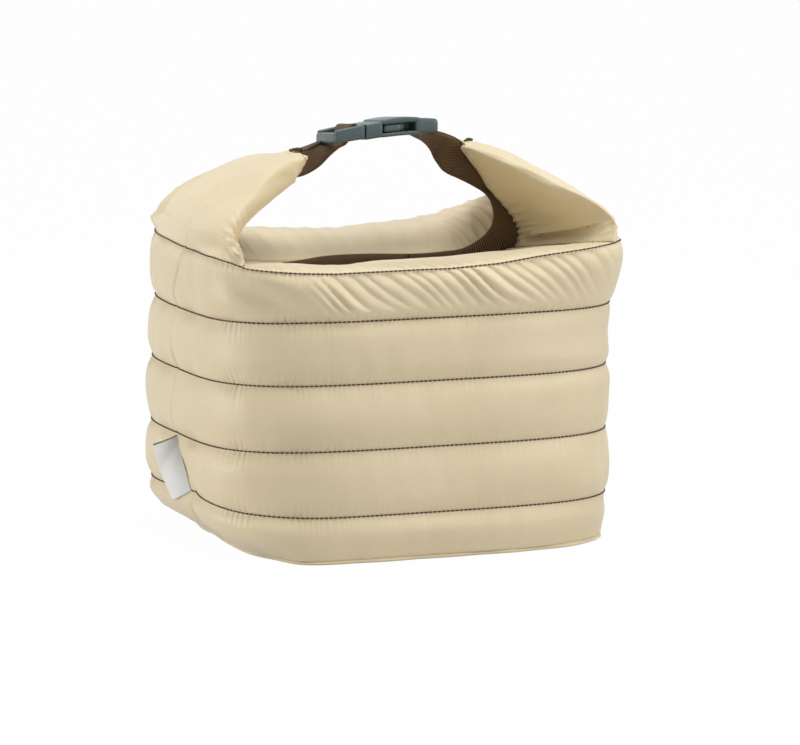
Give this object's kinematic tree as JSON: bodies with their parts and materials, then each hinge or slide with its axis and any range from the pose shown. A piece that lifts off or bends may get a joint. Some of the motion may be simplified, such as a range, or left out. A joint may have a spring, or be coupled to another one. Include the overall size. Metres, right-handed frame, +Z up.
{
  "type": "quilted insulated lunch bag with buckled ears",
  "caption": "Soft quilted insulated bag with a foam and foil-like lining, whose top folds in and whose two gathered ends buckle together as a carrying handle.",
  "frame": {"origin": "middle of the underside, on the surface that the bag stands on", "axes": "+X along the length towards the end that carries the female buckle half, -Y to the front, +Z up"},
  "size_m": [0.2828, 0.2192, 0.253],
  "materials": {
    "shell": "satin nylon",
    "lining": "coated, slightly metallic",
    "foam": "matte closed-cell foam",
    "board": "matte",
    "tape": "matte woven tape",
    "thread": "matte twisted thread",
    "webbing": "ribbed woven webbing",
    "buckle": "satin moulded",
    "label": "smooth woven tape"
  },
  "bodies": {
    "bag": {"front_shell": "shell", "back_shell": "shell", "base_shell": "shell", "base_board": "board", "foam_base": "foam", "liner_base": "lining", "foam_wall": "foam", "liner_wall": "lining", "left_seam_binding": "tape", "right_seam_binding": "tape", "quilting_thread_1": "thread", "quilting_thread_2": "thread", "quilting_thread_3": "thread", "quilting_thread_4": "thread", "quilting_thread_5": "thread"},
    "left_ear": {"left_ear_shell": "shell", "left_ear_webbing": "webbing", "left_bartack": "thread"},
    "right_ear": {"right_ear_shell": "shell", "right_ear_webbing": "webbing", "right_bartack": "thread"},
    "front_flap": {"front_flap_shell": "shell", "front_flap_lining": "lining"},
    "back_flap": {"back_flap_shell": "shell", "back_flap_lining": "lining", "mouth_webbing": "webbing"},
    "male_half": {"left_tail_webbing": "webbing", "buckle_male_frame": "buckle"},
    "female_half": {"right_tail_webbing": "webbing", "buckle_female_housing": "buckle"},
    "prong_front": {"buckle_prong_front": "buckle"},
    "prong_back": {"buckle_prong_back": "buckle"},
    "side_label": {"label": "label"}
  },
  "joints": [
    {"name": "left_ear_swing", "type": "hinge", "parent": "bag", "child": "left_ear", "pos_m": [-0.131, 0, 0.186], "axis": [0, -1, 0], "range_deg": [0, 65], "deforming": ["buckle_prong_front", "buckle_prong_back"]},
    {"name": "right_ear_swing", "type": "hinge", "parent": "bag", "child": "right_ear", "pos_m": [0.131, 0, 0.186], "axis": [0, 1, 0], "range_deg": [0, 65]},
    {"name": "front_flap_fold", "type": "hinge", "parent": "bag", "child": "front_flap", "pos_m": [0, -0.1035, 0.186], "axis": [1, 0, 0], "range_deg": [0, 26]},
    {"name": "back_flap_fold", "type": "hinge", "parent": "bag", "child": "back_flap", "pos_m": [0, 0.1035, 0.186], "axis": [-1, 0, 0], "range_deg": [0, 26]},
    {"name": "male_level", "type": "hinge", "parent": "left_ear", "child": "male_half", "pos_m": [-0.0427, 0, 0.2182], "axis": [0, -1, 0], "range_deg": [-65, 0]},
    {"name": "female_level", "type": "hinge", "parent": "right_ear", "child": "female_half", "pos_m": [0.0427, 0, 0.2182], "axis": [0, 1, 0], "range_deg": [-65, 0]},
    {"name": "prong_front_press", "type": "hinge", "parent": "male_half", "child": "prong_front", "pos_m": [-0.0087, -0.0125, 0.248], "axis": [0, 0, 1], "range_deg": [0, 8], "stiffness_Nm_per_rad": 0.05},
    {"name": "prong_back_press", "type": "hinge", "parent": "male_half", "child": "prong_back", "pos_m": [-0.0087, 0.0125, 0.248], "axis": [0, 0, -1], "range_deg": [0, 8], "stiffness_Nm_per_rad": 0.05},
    {"name": "label_flip", "type": "hinge", "parent": "bag", "child": "side_label", "pos_m": [-0.1345, 0, 0.0435], "axis": [0, 0, 1], "range_deg": [-35, 115]}
  ],
  "couplings": [
    {"joint": "right_ear_swing", "follows": "left_ear_swing", "ratio": 1},
    {"joint": "front_flap_fold", "follows": "left_ear_swing", "ratio": 0.4},
    {"joint": "back_flap_fold", "follows": "left_ear_swing", "ratio": 0.4},
    {"joint": "male_level", "follows": "left_ear_swing", "ratio": -1},
    {"joint": "female_level", "follows": "left_ear_swing", "ratio": -1}
  ]
}
